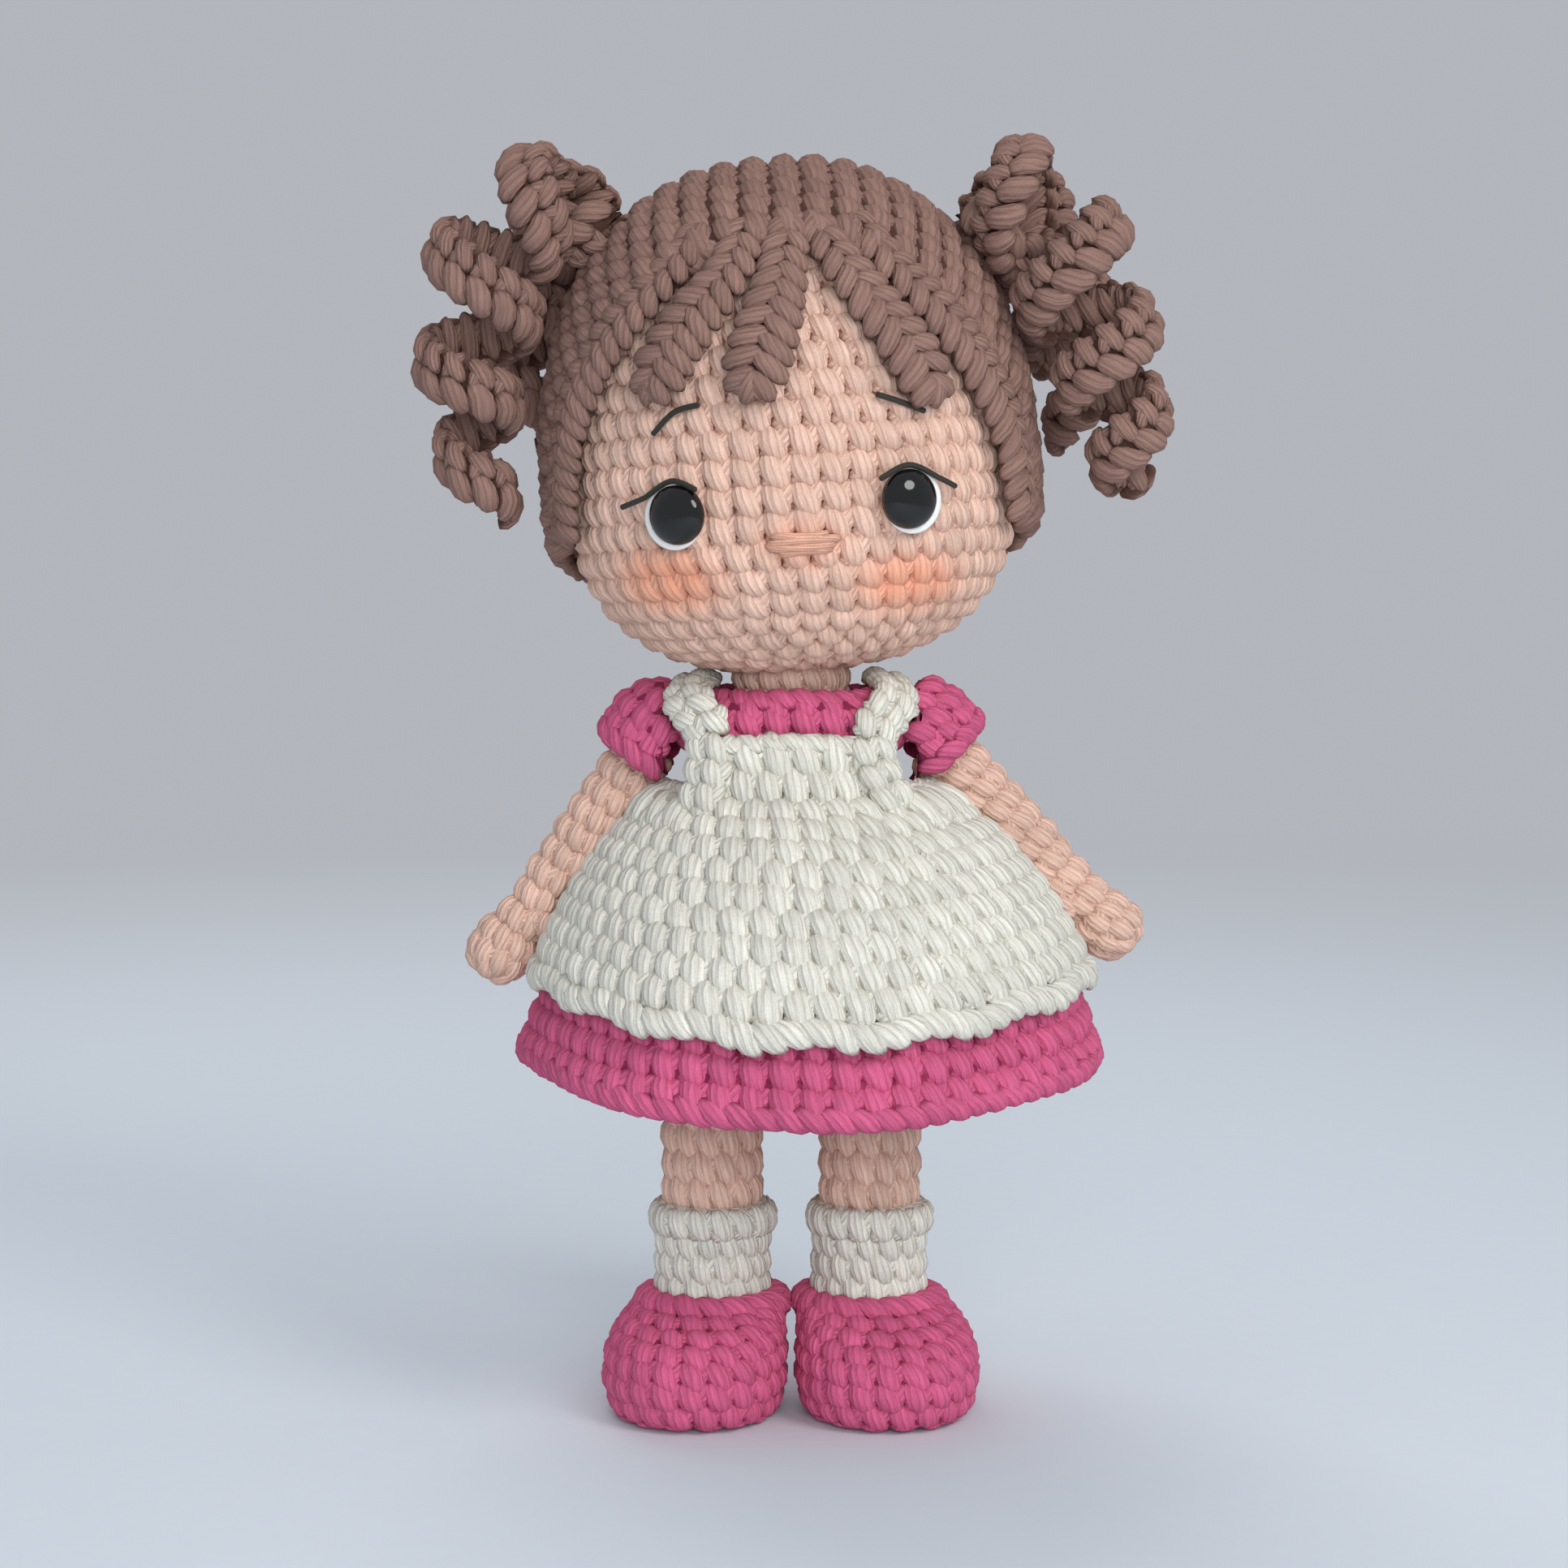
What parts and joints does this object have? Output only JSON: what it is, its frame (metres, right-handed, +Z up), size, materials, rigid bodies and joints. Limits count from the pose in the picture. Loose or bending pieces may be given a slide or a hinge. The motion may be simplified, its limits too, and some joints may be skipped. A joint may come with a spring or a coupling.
{
  "type": "crocheted doll",
  "caption": "Crocheted doll with a round stuffed head, spiral curls in two bunches, a flared dress, an apron, socks and shoes; the head turns and the arms and bunches swing.",
  "frame": {"origin": "middle of the footprint, on the surface that the soles stand on", "axes": "+Z up through the head, -Y the way the face looks, +X the doll's left side"},
  "size_m": [0.1036, 0.0834, 0.1781],
  "materials": {
    "skin_yarn": "matte crocheted cotton",
    "hair_yarn": "matte crocheted cotton",
    "dress_yarn": "matte crocheted cotton",
    "cream_yarn": "matte crocheted cotton",
    "eye_gloss": "gloss",
    "eye_felt": "matte felt",
    "washer_plastic": "matte",
    "face_thread": "matte embroidery thread",
    "dowel_wood": "plain",
    "button_wood": "satin"
  },
  "bodies": {
    "torso": {"body": "skin_yarn", "neck_support": "dowel_wood", "shoulder_thread": "cream_yarn", "bodice": "dress_yarn", "skirt": "dress_yarn", "apron": "cream_yarn", "apron_band": "cream_yarn", "apron_button": "button_wood", "apron_edge": "cream_yarn", "apron_strap_left": "cream_yarn", "apron_strap_right": "cream_yarn", "leg_left": "skin_yarn", "leg_right": "skin_yarn", "sock_left": "cream_yarn", "sock_right": "cream_yarn", "shoe_left": "dress_yarn", "shoe_right": "dress_yarn"},
    "head_group": {"head": "skin_yarn", "hair_cap": "hair_yarn", "side_lock_left": "hair_yarn", "side_lock_right": "hair_yarn", "fringe_left": "hair_yarn", "fringe_middle": "hair_yarn", "fringe_right": "hair_yarn", "eye_left": "eye_gloss", "eye_right": "eye_gloss", "eye_washer_left": "washer_plastic", "eye_washer_right": "washer_plastic", "eye_white_left": "eye_felt", "eye_white_right": "eye_felt", "lash_left": "face_thread", "lash_right": "face_thread", "brow_left": "face_thread", "brow_right": "face_thread", "nose": "skin_yarn"},
    "left_arm": {"arm_left": "skin_yarn", "sleeve_left": "dress_yarn"},
    "right_arm": {"arm_right": "skin_yarn", "sleeve_right": "dress_yarn"},
    "left_bunch": {"curl_left_front": "hair_yarn", "curl_left_back": "hair_yarn"},
    "right_bunch": {"curl_right_front": "hair_yarn", "curl_right_back": "hair_yarn"}
  },
  "joints": [
    {"name": "head_turn", "type": "hinge", "parent": "torso", "child": "head_group", "pos_m": [0, 0, 0.1085], "axis": [0, 0, 1], "range_deg": [-30, 30]},
    {"name": "left_arm_swing", "type": "hinge", "parent": "torso", "child": "left_arm", "pos_m": [0.0176, 0, 0.0968], "axis": [-1, 0, 0], "range_deg": [-45, 75]},
    {"name": "right_arm_swing", "type": "hinge", "parent": "torso", "child": "right_arm", "pos_m": [-0.0176, 0, 0.0968], "axis": [-1, 0, 0], "range_deg": [-45, 75]},
    {"name": "left_bunch_lift", "type": "hinge", "parent": "head_group", "child": "left_bunch", "pos_m": [0.0255, 0, 0.169], "axis": [0, -1, 0], "range_deg": [0, 25]},
    {"name": "right_bunch_lift", "type": "hinge", "parent": "head_group", "child": "right_bunch", "pos_m": [-0.0255, 0, 0.169], "axis": [0, 1, 0], "range_deg": [0, 25]}
  ]
}
